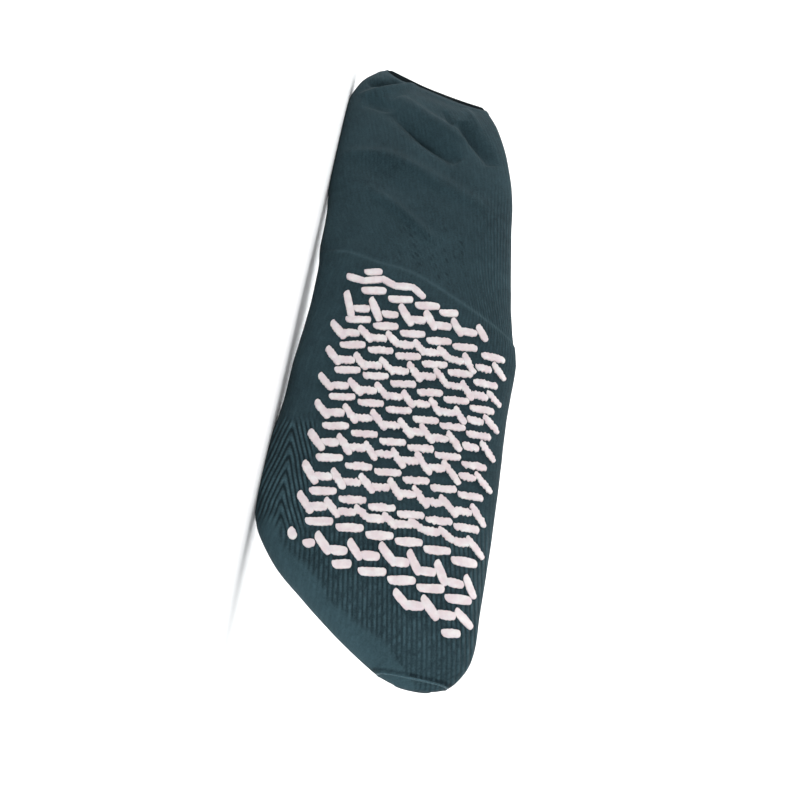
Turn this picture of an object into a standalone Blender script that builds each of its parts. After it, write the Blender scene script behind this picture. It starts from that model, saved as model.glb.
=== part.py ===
"""Slipper sock with a printed grip, empty and slack, lying on its side with the grip facing -Y.

X runs from the open mouth to the toe, Y from the tread to the instep, and Z up from the floor.
The knitted body is one hollow wall, lofted through sections of the leg, heel and foot.
"""

from collections import namedtuple
from math import cos, pi, sin

import bmesh
import bpy
from mathutils import Matrix, Vector
from mathutils.bvhtree import BVHTree

# Driving sizes, in metres
FOOT_LENGTH = 0.229
LEG_LENGTH = 0.138
FOOT_WIDTH = 0.113
LEG_WIDTH = 0.104
FOOT_DEPTH = 0.048
LEG_DEPTH = 0.036
WALL = 0.0018
GRIP_HEIGHT = 0.0011
GRIP_GAP = 0.0004
SEAM_HEIGHT = 0.0007
SEAM_WIDTH = 0.0016
SEAM_GAP = 0.0003

# How square a section is on its tread side and on its instep side; 2 is an ellipse
TREAD_POWER = 2.9
INSTEP_POWER = 2.3

RING_POINTS = 28
RINGS_PER_ROW = 2
# The step along and round the skin over which its direction is read
NORMAL_STEP = 0.01
# Edges bent by more than this, in radians, are shaded sharp
SHARP_ANGLE = 0.7

# One row for each section, from the mouth to the toe. Its low end is on the floor side and
# its high end on the upper side. Leg rows are shares of the leg's length, width and depth,
# foot rows of the foot's, and x is measured from the heel line. bow bends the middle of the
# section toward the mouth, and rake tips the instep side toward the mouth by its depth.
Row = namedtuple("Row", "part low_x low_z high_x high_z bow rake tread edge instep")
ROWS = (
    Row("leg", -0.99, 0.165, -0.862, 0.765, -0.02, 1.05, 0.64, 0.76, 0.90),
    Row("leg", -0.935, 0.102, -0.815, 0.790, -0.02, 0.80, 0.50, 0.68, 0.92),
    Row("leg", -0.84, 0.032, -0.725, 0.845, -0.01, 0.45, 0.34, 0.63, 0.95),
    Row("leg", -0.67, -0.022, -0.565, 0.912, 0.0, 0.12, 0.21, 0.60, 0.98),
    Row("leg", -0.48, -0.024, -0.365, 0.968, 0.02, 0.0, 0.15, 0.585, 1.0),
    Row("leg", -0.33, -0.018, -0.17, 0.988, 0.04, 0.0, 0.13, 0.55, 1.0),
    Row("leg", -0.20, 0.006, 0.02, 1.01, 0.065, 0.0, 0.12, 0.52, 1.02),
    Row("leg", -0.085, 0.020, 0.21, 1.035, 0.09, 0.0, 0.115, 0.48, 1.06),
    Row("leg", 0.025, 0.024, 0.40, 1.08, 0.10, 0.0, 0.105, 0.50, 1.20),
    Row("foot", 0.037, 0.025, 0.270, 1.0, 0.058, 0.0, 0.02, 0.39, 0.95),
    Row("foot", 0.095, 0.037, 0.325, 0.994, 0.048, 0.0, 0.0, 0.41, 1.0),
    Row("foot", 0.198, 0.032, 0.400, 0.988, 0.025, 0.0, 0.02, 0.41, 0.99),
    Row("foot", 0.331, 0.018, 0.488, 0.988, 0.0, 0.0, 0.035, 0.40, 0.94),
    Row("foot", 0.455, 0.010, 0.567, 0.988, 0.0, 0.0, 0.015, 0.41, 0.87),
    Row("foot", 0.568, -0.022, 0.648, 0.985, 0.0, 0.0, 0.0, 0.42, 0.80),
    Row("foot", 0.655, -0.022, 0.709, 0.981, 0.0, 0.0, 0.0, 0.415, 0.74),
    Row("foot", 0.727, 0.026, 0.770, 0.976, 0.0, 0.0, 0.006, 0.39, 0.68),
    Row("foot", 0.797, 0.130, 0.832, 0.970, 0.0, 0.0, 0.02, 0.36, 0.62),
    Row("foot", 0.859, 0.268, 0.889, 0.965, 0.0, 0.0, 0.04, 0.335, 0.56),
    Row("foot", 0.911, 0.398, 0.933, 0.950, 0.0, 0.0, 0.065, 0.305, 0.50),
    Row("foot", 0.953, 0.516, 0.964, 0.918, 0.0, 0.0, 0.10, 0.295, 0.45),
    Row("foot", 0.981, 0.600, 0.986, 0.873, 0.0, 0.0, 0.15, 0.29, 0.40),
    Row("foot", 0.994, 0.668, 0.996, 0.813, 0.0, 0.0, 0.21, 0.285, 0.35),
)
TOE_TIP = Vector((1.0 * FOOT_LENGTH, 0.285 * FOOT_DEPTH, 0.743 * FOOT_WIDTH))
SEAM_PLACE = 21.0

# The grip print: rows of bars across the foot, with a zigzag of slants and shorts between
# two rows. All of it scales with the pitch from one column of bars to the next.
COLUMN_PITCH = 0.1198 * FOOT_WIDTH
FIRST_COLUMN = 0.265 * FOOT_WIDTH
COLUMN_STEP = 0.10 * COLUMN_PITCH
BAR_LENGTH = 0.915 * COLUMN_PITCH
BAR_WIDTH = 0.31 * COLUMN_PITCH
BAR_LEAN = -0.12 * COLUMN_PITCH
SLANT_WIDTH = 0.24 * COLUMN_PITCH
SLANT_START = 0.11 * COLUMN_PITCH
SLANT_END = 0.64 * COLUMN_PITCH
SLANT_CLEAR = 0.42 * COLUMN_PITCH
SLANT_STOP = 0.23 * COLUMN_PITCH
# Where a short meets the slant before it and the slant after it, as shares of their length
SHORT_LEAVES = (0.62, 1.0)
SHORT_MEETS = (0.08, 0.5)
# A film starts this far in from the end of its bar, toward the near corner
LINK_IN = 0.35 * BAR_WIDTH
LINK_BACK = 0.2 * BAR_WIDTH
LINK_WIDTH = 0.085 * COLUMN_PITCH
LINK_HEIGHT = 0.4 * GRIP_HEIGHT
# How much of a dash's width its cut corners take at each end
CORNER = 0.32

# One row for each line of bars: its place along the foot at the third column, its shift
# along the row in pitches, its first and last bar, the shares cut off their outer ends, and
# the first and last slant of the zigzag on its toe side
GripRow = namedtuple("GripRow", "along shift first_bar last_bar first_cut last_cut slants")
GRIP_ROWS = (
    GripRow(0.128, 0.44, 1, 1, 0.0, 0.37, None),
    GripRow(0.170, 0.44, 1, 4, 0.0, 0.30, (0, 5)),
    GripRow(0.251, 0.0, 1, 6, 0.0, 0.0, (0, 6)),
    GripRow(0.313, 0.0, 1, 6, 0.0, 0.0, (0, 6)),
    GripRow(0.378, 0.0, 1, 6, 0.0, 0.0, (0, 6)),
    GripRow(0.443, 0.0, 1, 6, 0.0, 0.0, (0, 6)),
    GripRow(0.514, 0.0, 1, 6, 0.0, 0.0, (0, 6)),
    GripRow(0.586, 0.0, 1, 6, 0.0, 0.0, (0, 6)),
    GripRow(0.659, 0.0, 1, 6, 0.0, 0.0, (0, 6)),
    GripRow(0.722, 0.04, 1, 6, 0.0, 0.0, (1, 6)),
    GripRow(0.800, 0.0, 2, 6, 0.33, 0.0, (4, 6)),
    GripRow(0.873, 0.0, 6, 6, 0.15, 0.20, None),
)

# The print's border cuts these off, so they stand alone: x as a share of the foot's length
# and z as a share of its width, at both ends
Loose = namedtuple("Loose", "name start_x start_z end_x end_z")
LOOSE_DASHES = (
    Loose("grip_dot_1", 0.7400, 0.158, 0.7580, 0.190),
    Loose("grip_dot_2", 0.7660, 0.222, 0.7620, 0.274),
)
# The zigzag nearest the heel is drawn out flat, as the corners of one wavy line
HEEL_WAVE = (
    (0.1335, 0.187),
    (0.1415, 0.262),
    (0.1310, 0.343),
    (0.1415, 0.400),
    (0.1390, 0.470),
    (0.1500, 0.532),
)
WAVE_WIDTH = 0.23 * COLUMN_PITCH


def section(row):
    """The row's sizes in metres: low and high end, bow, rake, and the depths of tread, edge and instep."""
    length, width, depth = {
        "leg": (LEG_LENGTH, LEG_WIDTH, LEG_DEPTH),
        "foot": (FOOT_LENGTH, FOOT_WIDTH, FOOT_DEPTH),
    }[row.part]
    return (
        row.low_x * length,
        row.low_z * width,
        row.high_x * length,
        row.high_z * width,
        row.bow * length,
        row.rake,
        row.tread * depth,
        row.edge * depth,
        row.instep * depth,
    )


SECTIONS = [section(row) for row in ROWS]


def section_at(place):
    """The section at a place between rows, on a smooth curve through all of them."""
    last = len(SECTIONS) - 1
    first = min(int(place), last - 1)
    share = place - first
    before, start, end, after = (
        SECTIONS[min(max(first + step, 0), last)] for step in (-1, 0, 1, 2)
    )
    sizes = []
    for a, b, c, d in zip(before, start, end, after):
        sizes.append(
            b
            + 0.5
            * share
            * (c - a + share * (2 * a - 5 * b + 4 * c - d + share * (3 * b - a - 3 * c + d)))
        )
    return sizes


def skin(place, turn):
    """The point of the outer skin at a place along the rows and an angle round the section."""
    low_x, low_z, high_x, high_z, bow, rake, tread, edge, instep = section_at(place)
    power = TREAD_POWER if sin(turn) < 0 else INSTEP_POWER
    across = abs(cos(turn)) ** (2 / power) * (1 if cos(turn) > 0 else -1)
    out = abs(sin(turn)) ** (2 / power)
    side = tread if sin(turn) < 0 else instep
    y = edge + (side - edge) * out
    share = (1 + across) / 2
    x = low_x + (high_x - low_x) * share - bow * (1 - across**2) - rake * (y - edge)
    z = low_z + (high_z - low_z) * share
    return Vector((x, y, max(z, 0.0)))


def skin_normal(place, turn):
    """The outward direction of the skin there."""
    along = skin(place + NORMAL_STEP, turn) - skin(place - NORMAL_STEP, turn)
    around = skin(place, turn + NORMAL_STEP) - skin(place, turn - NORMAL_STEP)
    return along.cross(around).normalized()


def turns():
    return [2 * pi * number / RING_POINTS for number in range(RING_POINTS)]


def new_object(name, mesh, covering):
    mesh.materials.append(covering)
    mesh.shade_smooth()
    mesh.set_sharp_from_angle(angle=SHARP_ANGLE)
    piece = bpy.data.objects.new(name, mesh)
    bpy.data.collections["slipper_sock"].objects.link(piece)
    return piece


def mesh_from(shape, name):
    mesh = bpy.data.meshes.new(name)
    shape.to_mesh(mesh)
    shape.free()
    return mesh


def new_material(name, colour, roughness):
    made = bpy.data.materials.new(name)
    made.use_nodes = True
    shader = made.node_tree.nodes["Principled BSDF"]
    shader.inputs["Base Color"].default_value = (*colour, 1.0)
    shader.inputs["Roughness"].default_value = roughness
    shader.inputs["Metallic"].default_value = 0.0
    return made


def bridge(shape, rings):
    """Faces between neighbouring rings, all round."""
    for ring, following in zip(rings, rings[1:]):
        for number in range(len(ring)):
            after = (number + 1) % len(ring)
            shape.faces.new((ring[number], following[number], following[after], ring[after]))


def knit_skin():
    """The outer skin from the mouth to the toe tip, open at the mouth."""
    shape = bmesh.new()
    places = [number / RINGS_PER_ROW for number in range((len(ROWS) - 1) * RINGS_PER_ROW + 1)]
    rings = [[shape.verts.new(skin(place, turn)) for turn in turns()] for place in places]
    bridge(shape, rings)
    tip = shape.verts.new(TOE_TIP)
    last = rings[-1]
    for number in range(RING_POINTS):
        shape.faces.new((last[number], tip, last[(number + 1) % RING_POINTS]))
    bmesh.ops.recalc_face_normals(shape, faces=shape.faces)
    return shape


def knit_body(knit):
    """Leg, heel pocket, foot and toe pocket, knitted in one: a thin wall, open at the mouth."""
    piece = new_object("knit_body", mesh_from(knit_skin(), "knit_body"), knit)
    wall = piece.modifiers.new("wall", "SOLIDIFY")
    wall.thickness = WALL
    wall.offset = -1.0
    return piece


def toe_seam(knit):
    """The raised seam that closes the toe: a narrow band all round, just clear of the skin."""
    shape = bmesh.new()
    rings = []
    per_row = (skin(SEAM_PLACE + 0.5, 0.0) - skin(SEAM_PLACE - 0.5, 0.0)).length
    for turn in turns():
        out = skin_normal(SEAM_PLACE, turn)
        ring = []
        for side, height in ((-0.5, 0.0), (-0.5, 1.0), (0.5, 1.0), (0.5, 0.0)):
            foot = skin(SEAM_PLACE + side * SEAM_WIDTH / per_row, turn)
            ring.append(shape.verts.new(foot + out * (SEAM_GAP + height * SEAM_HEIGHT)))
        rings.append(ring)
    bridge(shape, rings + rings[:1])
    bmesh.ops.recalc_face_normals(shape, faces=shape.faces)
    return new_object("toe_seam", mesh_from(shape, "toe_seam"), knit)


def flat(x, z):
    """A point of a flat drawing of the print, before it is laid on the skin."""
    return Vector((x, 0.0, z))


def side_of(start, end):
    """The direction square to a dash, toward the high side."""
    along = (end - start).normalized()
    return Vector((-along.z, 0.0, along.x))


def raise_print(shape, height):
    """Thickens flat faces of the print away from the skin."""
    lifted = bmesh.ops.extrude_face_region(shape, geom=shape.faces[:])["geom"]
    verts = [item for item in lifted if isinstance(item, bmesh.types.BMVert)]
    bmesh.ops.translate(shape, vec=(0.0, -height, 0.0), verts=verts)
    bmesh.ops.recalc_face_normals(shape, faces=shape.faces)


def dash(start, end, width, height=GRIP_HEIGHT):
    """A flat dash from one point to another, as a prism with cut corners."""
    along = (end - start).normalized()
    side = side_of(start, end) * width / 2
    cut = along * width * CORNER
    keep = 1 - 2 * CORNER
    shape = bmesh.new()
    corners = (
        start + side * keep,
        start + cut + side,
        end - cut + side,
        end + side * keep,
        end - side * keep,
        end - cut - side,
        start + cut - side,
        start - side * keep,
    )
    shape.faces.new([shape.verts.new(corner) for corner in corners])
    raise_print(shape, height)
    return shape


def column(row, number):
    return FIRST_COLUMN + (number - 1 + row.shift) * COLUMN_PITCH


def row_x(row, number):
    return row.along * FOOT_LENGTH + (number - 3) * COLUMN_STEP


def bar_line(row, number):
    """The ends of one bar. The print's border cuts the outer ones short."""
    x = row_x(row, number)
    z = column(row, number)
    start = flat(x - BAR_LEAN / 2, z - BAR_LENGTH / 2)
    end = flat(x + BAR_LEAN / 2, z + BAR_LENGTH / 2)
    first_cut = row.first_cut if number == row.first_bar else 0.0
    last_cut = row.last_cut if number == row.last_bar else 0.0
    return start.lerp(end, first_cut), start.lerp(end, 1 - last_cut)


def slant_line(row, after, number):
    """The ends of one slant between a row of bars and the row after it."""
    z = (column(row, number) + column(after, number)) / 2
    start = flat(row_x(row, number) + SLANT_CLEAR, z + SLANT_START)
    end = flat(row_x(after, number) - SLANT_STOP, z + SLANT_END)
    return start, end


def zigzag(name, slants, print_material, tree):
    """Slants with a short between each two, drawn as faces that share their corners."""
    shape = bmesh.new()
    leaving = None
    for start, end in slants:
        side = side_of(start, end) * SLANT_WIDTH / 2
        tip = (end - start).normalized() * SLANT_WIDTH * CORNER
        low = [shape.verts.new(start.lerp(end, share) - side) for share in (0.0, *SHORT_MEETS, 1.0)]
        high = [shape.verts.new(start.lerp(end, share) + side) for share in (0.0, *SHORT_LEAVES)]
        tips = shape.verts.new(start - tip), shape.verts.new(end + tip)
        shape.faces.new([tips[0], *low, tips[1], *reversed(high)])
        if leaving:
            shape.faces.new([leaving[0], low[1], low[2], leaving[1]])
        leaving = high[1:]
    raise_print(shape, GRIP_HEIGHT)
    return finish_print(name, shape, print_material, tree)


def heel_wave(name, print_material, tree):
    """The drawn-out zigzag at the heel: one wavy line with its corners mitred."""
    corners = [flat(x * FOOT_LENGTH, z * FOOT_WIDTH) for x, z in HEEL_WAVE]
    shape = bmesh.new()
    pairs = []
    for number, corner in enumerate(corners):
        before = corners[max(number - 1, 0)]
        after = corners[min(number + 1, len(corners) - 1)]
        side = side_of(before, after) * WAVE_WIDTH / 2
        pairs.append((shape.verts.new(corner - side), shape.verts.new(corner + side)))
    for (low, high), (next_low, next_high) in zip(pairs, pairs[1:]):
        shape.faces.new((low, next_low, next_high, high))
    raise_print(shape, GRIP_HEIGHT)
    return finish_print(name, shape, print_material, tree)


def union(shapes, name):
    """Flat dashes that touch, joined in one shape."""
    pieces = []
    for number, shape in enumerate(shapes):
        piece = bpy.data.objects.new(f"{name}_{number}", mesh_from(shape, name))
        bpy.context.scene.collection.objects.link(piece)
        pieces.append(piece)
    for piece in pieces[1:]:
        join = pieces[0].modifiers.new(piece.name, "BOOLEAN")
        join.operation = "UNION"
        join.object = piece
    bpy.context.view_layer.update()
    graph = bpy.context.evaluated_depsgraph_get()
    mesh = bpy.data.meshes.new_from_object(pieces[0].evaluated_get(graph))
    for piece in pieces:
        bpy.data.objects.remove(piece)
    shape = bmesh.new()
    shape.from_mesh(mesh)
    bpy.data.meshes.remove(mesh)
    return shape


def cut_across(shape, spots):
    """Cuts a flat shape at these heights, so that it can follow the curve of the skin."""
    for z in spots:
        bmesh.ops.bisect_plane(
            shape,
            geom=shape.verts[:] + shape.edges[:] + shape.faces[:],
            plane_co=(0.0, 0.0, z),
            plane_no=(0.0, 0.0, 1.0),
        )


def finish_print(name, shape, print_material, tree):
    """Lays a flat shape on the skin, with a small gap under it."""
    bmesh.ops.triangulate(shape, faces=shape.faces)
    for vert in shape.verts:
        above = Vector((vert.co.x, -FOOT_DEPTH, vert.co.z))
        spot, normal = tree.ray_cast(above, Vector((0.0, 1.0, 0.0)))[:2]
        vert.co.y += spot.y - GRIP_GAP / abs(normal.y)
    bmesh.ops.recalc_face_normals(shape, faces=shape.faces)
    return new_object(name, mesh_from(shape, name), print_material)


def bar_row(name, row, print_material, tree):
    """One row of bars, held together by thin films of the print between their near corners."""
    shapes = []
    last_end = None
    for number in range(row.first_bar, row.last_bar + 1):
        start, end = bar_line(row, number)
        bar = dash(start, end, BAR_WIDTH)
        cut_across(bar, [(start.z + end.z) / 2])
        shapes.append(bar)
        if last_end:
            corner = flat(LINK_IN, -LINK_BACK)
            shapes.append(dash(last_end + corner, start - corner, LINK_WIDTH, LINK_HEIGHT))
        last_end = end
    shape = union(shapes, name) if len(shapes) > 1 else shapes[0]
    return finish_print(name, shape, print_material, tree)


def grip_print(tree, print_material):
    """All of the print on the tread side, from the heel to the toe."""
    pieces = [heel_wave("grip_wave_heel", print_material, tree)]
    for count, row in enumerate(GRIP_ROWS, start=1):
        pieces.append(bar_row(f"grip_bars_{count:02d}", row, print_material, tree))
        if row.slants:
            after = GRIP_ROWS[count]
            numbers = range(row.slants[0], row.slants[1] + 1)
            lines = [slant_line(row, after, number) for number in numbers]
            pieces.append(zigzag(f"grip_zigzag_{count:02d}", lines, print_material, tree))
    for loose in LOOSE_DASHES:
        start = flat(loose.start_x * FOOT_LENGTH, loose.start_z * FOOT_WIDTH)
        end = flat(loose.end_x * FOOT_LENGTH, loose.end_z * FOOT_WIDTH)
        shape = dash(start, end, SLANT_WIDTH)
        pieces.append(finish_print(loose.name, shape, print_material, tree))
    return pieces


def centre_on_floor(pieces):
    """Moves all pieces together, so that the origin is under the middle of them on the floor."""
    corners = [vert.co for piece in pieces for vert in piece.data.vertices]
    middle_x = (min(corner.x for corner in corners) + max(corner.x for corner in corners)) / 2
    middle_y = (min(corner.y for corner in corners) + max(corner.y for corner in corners)) / 2
    for piece in pieces:
        piece.data.transform(Matrix.Translation((-middle_x, -middle_y, 0.0)))


def main():
    for existing in list(bpy.data.objects):
        bpy.data.objects.remove(existing)
    bpy.context.scene.collection.children.link(bpy.data.collections.new("slipper_sock"))
    knit = new_material("knit", (0.028, 0.054, 0.066), 0.85)
    print_material = new_material("grip_print", (0.80, 0.68, 0.71), 0.5)
    outer = knit_skin()
    tree = BVHTree.FromBMesh(outer)
    outer.free()
    pieces = [knit_body(knit), toe_seam(knit)]
    pieces += grip_print(tree, print_material)
    centre_on_floor(pieces)


main()
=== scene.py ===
"""Slipper sock: the knit, toe seam, raised grip print and stage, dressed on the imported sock."""

from collections import namedtuple
from math import pi, radians

import bpy
import numpy as np
from mathutils import Matrix, Vector, noise
from mathutils.bvhtree import BVHTree


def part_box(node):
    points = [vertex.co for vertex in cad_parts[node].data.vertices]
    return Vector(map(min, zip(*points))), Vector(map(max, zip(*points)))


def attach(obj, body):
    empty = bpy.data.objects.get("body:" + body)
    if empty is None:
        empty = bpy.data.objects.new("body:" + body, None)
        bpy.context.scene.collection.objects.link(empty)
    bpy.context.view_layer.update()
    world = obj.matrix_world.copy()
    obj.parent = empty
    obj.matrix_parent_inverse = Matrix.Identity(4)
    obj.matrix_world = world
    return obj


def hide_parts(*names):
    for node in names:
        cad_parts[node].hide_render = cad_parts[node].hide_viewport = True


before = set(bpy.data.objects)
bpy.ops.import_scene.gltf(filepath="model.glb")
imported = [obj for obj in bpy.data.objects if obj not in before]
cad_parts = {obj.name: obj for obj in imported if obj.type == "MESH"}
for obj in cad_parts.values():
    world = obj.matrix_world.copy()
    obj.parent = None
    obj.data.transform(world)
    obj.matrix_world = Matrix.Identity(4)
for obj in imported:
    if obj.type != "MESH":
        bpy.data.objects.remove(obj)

bl_info = {
    "name": "Slipper Sock",
    "version": (1, 0, 0),
    "blender": (4, 5, 0),
    "location": "View3D > Sidebar > Sock",
    "description": "Models an empty knitted slipper sock with a raised grip print",
    "category": "Add Mesh",
}

SOCK_LOW, SOCK_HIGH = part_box("knit_body")

# One row for each section, from the mouth to the toe. Leg rows are shares of the leg's length,
# width and depth, foot rows of the foot's, and x is measured from the heel line. The low end is
# on the floor side and the high end on the upper side. bow bends the middle of the section
# toward the mouth, and rake tips the instep side toward the mouth by its depth.
Row = namedtuple("Row", "part low_x low_z high_x high_z bow rake tread edge instep")
ROWS = (
    Row("leg", -0.99, 0.165, -0.862, 0.765, -0.02, 1.05, 0.64, 0.76, 0.90),
    Row("leg", -0.935, 0.102, -0.815, 0.790, -0.02, 0.80, 0.50, 0.68, 0.92),
    Row("leg", -0.84, 0.032, -0.725, 0.845, -0.01, 0.45, 0.34, 0.63, 0.95),
    Row("leg", -0.67, -0.022, -0.565, 0.912, 0.0, 0.12, 0.21, 0.60, 0.98),
    Row("leg", -0.48, -0.024, -0.365, 0.968, 0.02, 0.0, 0.15, 0.585, 1.0),
    Row("leg", -0.33, -0.018, -0.17, 0.988, 0.04, 0.0, 0.13, 0.55, 1.0),
    Row("leg", -0.20, 0.006, 0.02, 1.01, 0.065, 0.0, 0.12, 0.52, 1.02),
    Row("leg", -0.085, 0.020, 0.21, 1.035, 0.09, 0.0, 0.112, 0.48, 1.06),
    Row("leg", 0.025, 0.024, 0.40, 1.08, 0.10, 0.0, 0.088, 0.50, 1.20),
    Row("foot", 0.037, 0.025, 0.270, 1.0, 0.058, 0.0, 0.052, 0.39, 0.95),
    Row("foot", 0.095, 0.037, 0.325, 0.994, 0.048, 0.0, 0.026, 0.41, 1.0),
    Row("foot", 0.198, 0.032, 0.400, 0.988, 0.025, 0.0, 0.02, 0.41, 0.99),
    Row("foot", 0.331, 0.018, 0.488, 0.988, 0.0, 0.0, 0.035, 0.40, 0.94),
    Row("foot", 0.455, 0.010, 0.567, 0.988, 0.0, 0.0, 0.015, 0.41, 0.87),
    Row("foot", 0.568, -0.022, 0.648, 0.985, 0.0, 0.0, 0.0, 0.42, 0.80),
    Row("foot", 0.655, -0.022, 0.709, 0.981, 0.0, 0.0, 0.0, 0.415, 0.74),
    Row("foot", 0.727, 0.026, 0.770, 0.976, 0.0, 0.0, 0.006, 0.39, 0.68),
    Row("foot", 0.797, 0.130, 0.832, 0.970, 0.0, 0.0, 0.02, 0.36, 0.62),
    Row("foot", 0.859, 0.268, 0.889, 0.965, 0.0, 0.0, 0.04, 0.335, 0.56),
    Row("foot", 0.911, 0.398, 0.933, 0.950, 0.0, 0.0, 0.065, 0.305, 0.50),
    Row("foot", 0.953, 0.516, 0.964, 0.918, 0.0, 0.0, 0.10, 0.295, 0.45),
    Row("foot", 0.981, 0.600, 0.986, 0.873, 0.0, 0.0, 0.15, 0.29, 0.40),
    Row("foot", 0.994, 0.668, 0.996, 0.813, 0.0, 0.0, 0.21, 0.285, 0.35),
)
# The toe's tip, as shares of the foot's length, depth and width
TOE_TIP = (1.0, 0.285, 0.743)
# How square the sections are on the tread's side and on the instep's
TREAD_POWER = 2.9
INSTEP_POWER = 2.3
# Where the toe seam lies, counted in rows from the mouth
SEAM_PLACE = 21.0

# How finely the skin is divided
RINGS_OUTSIDE = 356
RINGS_TOE_CAP = 10
RINGS_RIM = 4
RINGS_BY_COLLAR = 130
RINGS_INSIDE_FOOT = 26
STITCHES_AROUND = 208

# How finely curves are followed before points are spaced evenly along them, and how finely
# the tread is searched for its lowest point
FINE_TURNS = 241
FINE_PLACES = 1801
TREAD_TURNS = 181

# Soft folds of the slack knit, drawn along their middle lines in the same shares as the rows:
# height is how far the fold stands out (or sinks in, below zero) and width is its spread
Fold = namedtuple("Fold", "part side height width line")
FOLDS = (
    Fold("leg", "tread", -0.0066, 0.0045,
         ((-0.640, 0.250), (-0.596, 0.317), (-0.540, 0.414), (-0.495, 0.508), (-0.452, 0.602),
          (-0.425, 0.655))),
    Fold("leg", "tread", 0.0031, 0.0046,
         ((-0.740, 0.265), (-0.696, 0.334), (-0.621, 0.471), (-0.579, 0.592), (-0.540, 0.675))),
    Fold("leg", "tread", -0.0060, 0.0040,
         ((-0.673, 0.634), (-0.631, 0.660), (-0.567, 0.726), (-0.511, 0.787), (-0.450, 0.830))),
    Fold("leg", "tread", -0.0018, 0.0020,
         ((-0.715, 0.530), (-0.676, 0.552), (-0.615, 0.592))),
    Fold("leg", "tread", 0.0026, 0.0044,
         ((-0.383, 0.030), (-0.384, 0.087), (-0.390, 0.203), (-0.374, 0.325), (-0.350, 0.431),
          (-0.304, 0.541), (-0.267, 0.683), (-0.215, 0.860))),
    Fold("leg", "tread", 0.0021, 0.0031,
         ((-0.225, 0.190), (-0.180, 0.281), (-0.133, 0.389), (-0.054, 0.519), (-0.010, 0.600))),
    Fold("leg", "tread", -0.0048, 0.0032,
         ((-0.815, 0.080), (-0.829, 0.130), (-0.843, 0.196), (-0.890, 0.255))),
    Fold("leg", "tread", 0.0026, 0.0032,
         ((-0.715, 0.060), (-0.731, 0.091), (-0.776, 0.198), (-0.850, 0.290), (-0.930, 0.340))),
    Fold("leg", "tread", -0.0032, 0.0046,
         ((-0.690, 0.090), (-0.679, 0.136), (-0.667, 0.200), (-0.655, 0.300))),
    Fold("leg", "tread", -0.0014, 0.0060,
         ((-0.330, 0.115), (-0.286, 0.256), (-0.240, 0.372), (-0.200, 0.470))),
    Fold("leg", "tread", 0.0012, 0.0026,
         ((-0.800, 0.640), (-0.720, 0.690), (-0.640, 0.745))),
    Fold("foot", "tread", -0.0007, 0.0030,
         ((0.730, 0.160), (0.765, 0.205), (0.790, 0.270), (0.815, 0.345), (0.850, 0.425),
          (0.882, 0.500), (0.915, 0.600))),
    Fold("leg", "instep", -0.0022, 0.0050,
         ((-0.10, 0.15), (-0.02, 0.35), (0.03, 0.55), (0.10, 0.80))),
    Fold("leg", "instep", 0.0016, 0.0055,
         ((-0.22, 0.12), (-0.16, 0.35), (-0.10, 0.55), (-0.02, 0.82))),
    Fold("leg", "instep", -0.0016, 0.0060,
         ((-0.70, 0.30), (-0.60, 0.45), (-0.52, 0.62))),
    Fold("leg", "instep", 0.0013, 0.0060,
         ((-0.62, 0.20), (-0.50, 0.40), (-0.42, 0.60), (-0.36, 0.75))),
    Fold("foot", "instep", -0.0014, 0.0070,
         ((0.20, 0.20), (0.27, 0.45), (0.33, 0.75))),
    Fold("foot", "instep", 0.0010, 0.0080,
         ((0.45, 0.15), (0.52, 0.40), (0.60, 0.70))),
)
# The sag of the mouth's front edge: its place and spread as shares of the leg's width, how deep
# it is and how far it reaches down the leg
RIM_DIP = (0.25, 0.09, 0.0020, 0.007)
# The line where the heel pocket was turned, as shares of the foot's length and width
HEEL_TURN = (
    (0.060, 0.120), (0.068, 0.212), (0.085, 0.314), (0.087, 0.407), (0.101, 0.503),
    (0.124, 0.602), (0.148, 0.702), (0.171, 0.804), (0.196, 0.909), (0.212, 0.980),
)
# The inner edge of the padded band along the toe's low side, in the same shares
TOE_PAD = (
    (0.690, 0.070), (0.714, 0.092), (0.764, 0.138), (0.792, 0.198), (0.802, 0.250),
    (0.818, 0.287), (0.839, 0.326), (0.867, 0.378), (0.894, 0.448), (0.910, 0.530),
    (0.930, 0.605), (0.951, 0.652),
)
# The middle line of the gore, where the wales of the toe meet in an arrow
GORE_LINE = (
    (0.480, 0.078), (0.535, 0.085), (0.585, 0.096), (0.629, 0.098), (0.686, 0.105),
    (0.742, 0.125),
)
GORE_LEAN = 0.30
# How far the wales of the toe drift toward the high edge as they run to the tip
TOE_WALE_LEAN = 0.15

# How far the heel pocket's knit, the toe's padded band and the elastic edge stand out, and
# the distances from the mouth between which the elastic edge ends
HEEL_LIFT = 0.0010
PAD_LIFT = 0.0011
COLLAR_LIFT = 0.00035
COLLAR_END = (0.0055, 0.0080)
# The slack of the knit: height of each noise and how fine it is, per metre
SLACK = ((0.00042, 26.0), (0.00022, 75.0))
# Where the gore's arrow fades in and out along the foot, how far from its middle line it
# fades out, and the rounding of its point
GORE_REACH = (0.46, 0.52, 0.71, 0.79)
GORE_SIDES = (0.0100, 0.0135)
GORE_POINT = 0.0006
# The painted shadow line on the mouth side of the toe seam, its distance and spread, and the spread
# of the painted highlight line at the heel's turn
SEAM_SHADE_OFFSET = 0.0013
SEAM_SHADE_SPREAD = 0.0008
HEEL_TURN_SPREAD = 0.0015

# The print's columns, as shares of the foot's width above the floor
COLUMNS = (0.265, 0.389, 0.511, 0.630, 0.747, 0.863)
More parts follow.
